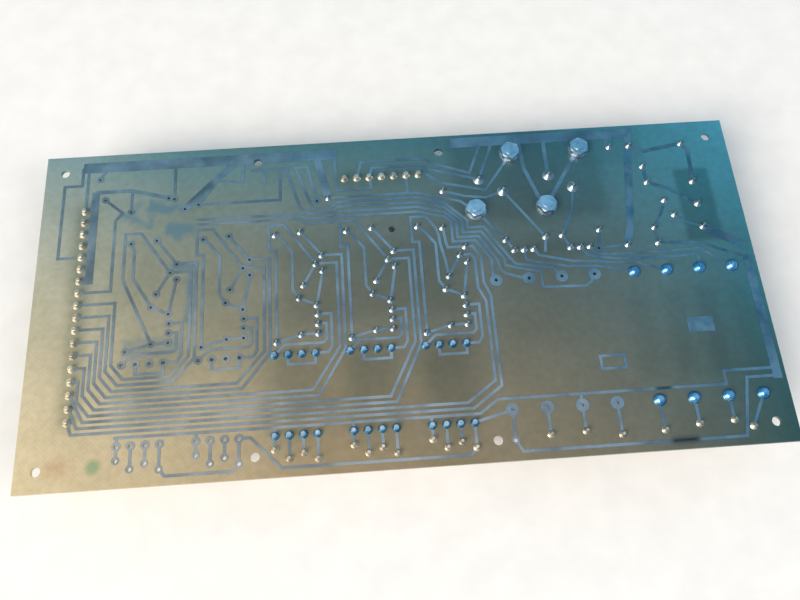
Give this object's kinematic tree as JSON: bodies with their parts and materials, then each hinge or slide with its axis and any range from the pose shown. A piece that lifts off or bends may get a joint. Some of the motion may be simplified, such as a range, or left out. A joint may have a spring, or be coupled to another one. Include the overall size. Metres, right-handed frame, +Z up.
{
  "type": "printed circuit board",
  "caption": "Single-sided printed circuit board with relays, headers, regulators on a heat sink, load resistors and a terminal block, lying solder side up.",
  "frame": {"origin": "under the middle of the board, on the surface that the relays and the heat sink stand on", "axes": "+X along the board's long edge, from the long header to the terminal block; +Y to the edge with the regulators; +Z up, out of the solder side"},
  "size_m": [0.278, 0.135, 0.0289],
  "materials": {
    "laminate": "satin",
    "tinned_copper": "satin",
    "header_nylon": "satin",
    "tinned_lead": "polished",
    "relay_base": "satin",
    "relay_cover": "polished",
    "moulding": "matte",
    "resistor": "satin",
    "diode": "satin",
    "block_capacitor": "satin",
    "regulator_steel": "satin",
    "sink_aluminium": "satin",
    "zinc_steel": "satin",
    "terminal_moulding": "satin",
    "load_ceramic": "matte",
    "can_sleeve": "polished",
    "film_case": "polished",
    "solder": "polished"
  },
  "bodies": {
    "root": {"board": "laminate", "signal_tracks": "tinned_copper", "supply_tracks": "tinned_copper", "output_tracks": "tinned_copper", "main_header_housing": "header_nylon", "main_header_pins": "tinned_lead", "small_header_housing": "header_nylon", "small_header_pins": "tinned_lead", "relay_base_1": "relay_base", "relay_base_2": "relay_base", "relay_base_3": "relay_base", "relay_cover_1": "relay_cover", "relay_cover_2": "relay_cover", "relay_cover_3": "relay_cover", "relay_pins": "tinned_lead", "driver_transistors": "moulding", "driver_leads": "tinned_lead", "control_transistors": "moulding", "control_leads": "tinned_lead", "channel_resistors": "resistor", "channel_diodes": "diode", "channel_wires": "tinned_lead", "channel_capacitors": "block_capacitor", "capacitor_leads": "tinned_lead", "supply_resistors": "resistor", "supply_diodes": "diode", "supply_wires": "tinned_lead", "wire_link": "tinned_lead", "regulator_1": "regulator_steel", "regulator_2": "regulator_steel", "regulator_pins": "tinned_lead", "heat_sink": "sink_aluminium", "regulator_screws": "zinc_steel", "regulator_washers": "zinc_steel", "regulator_nuts": "zinc_steel", "terminal_block": "terminal_moulding", "terminal_screws": "zinc_steel", "terminal_tags": "tinned_lead", "load_resistor_1": "load_ceramic", "load_resistor_2": "load_ceramic", "load_resistor_3": "load_ceramic", "load_resistor_4": "load_ceramic", "load_leads": "tinned_lead", "wire_posts": "tinned_lead", "reservoir_capacitor": "can_sleeve", "reservoir_leads": "tinned_lead", "film_capacitor": "film_case", "film_leads": "tinned_lead", "header_solder": "solder", "relay_solder": "solder", "channel_solder": "solder", "supply_solder": "solder", "load_solder": "solder", "post_solder": "solder"}
  },
  "joints": []
}
